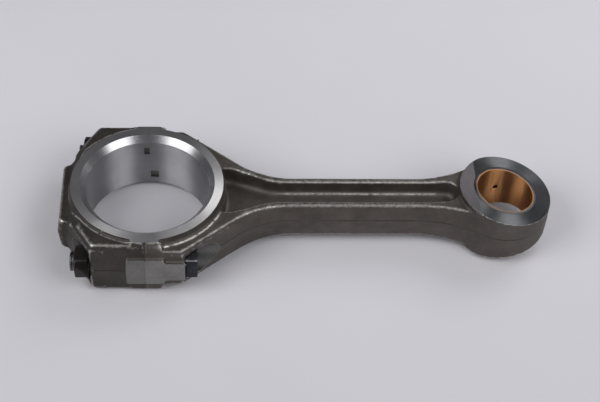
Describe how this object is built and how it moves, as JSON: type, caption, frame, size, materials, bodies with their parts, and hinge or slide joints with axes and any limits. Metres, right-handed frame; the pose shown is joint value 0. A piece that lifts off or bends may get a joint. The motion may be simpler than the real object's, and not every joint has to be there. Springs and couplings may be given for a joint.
{
  "type": "connecting rod",
  "caption": "Forged connecting rod of a heavy diesel engine with a bolted big-end cap and a bronze-bushed, tapered small end.",
  "frame": {"origin": "centre of the bounding box in plan, at the face that the rod lies on", "axes": "+X from the big end to the small end, +Z along both bores, away from the face it lies on"},
  "size_m": [0.3522, 0.1284, 0.0496],
  "materials": {
    "forged_steel": "as forged and shot blasted, with machined faces and bores",
    "forged_cap_steel": "as forged and shot blasted, with machined faces and bore",
    "bush_bronze": "finely bored bronze",
    "bolt_steel": "black oxide",
    "nut_steel": "oiled dark steel",
    "pin_steel": "ground"
  },
  "bodies": {
    "root": {"connecting_rod_body": "forged_steel", "big_end_cap": "forged_cap_steel", "small_end_bush": "bush_bronze", "cap_bolt_front": "bolt_steel", "cap_bolt_back": "bolt_steel", "cap_nut_front": "nut_steel", "cap_nut_back": "nut_steel", "locating_pin_front": "pin_steel", "locating_pin_back": "pin_steel"}
  },
  "joints": []
}
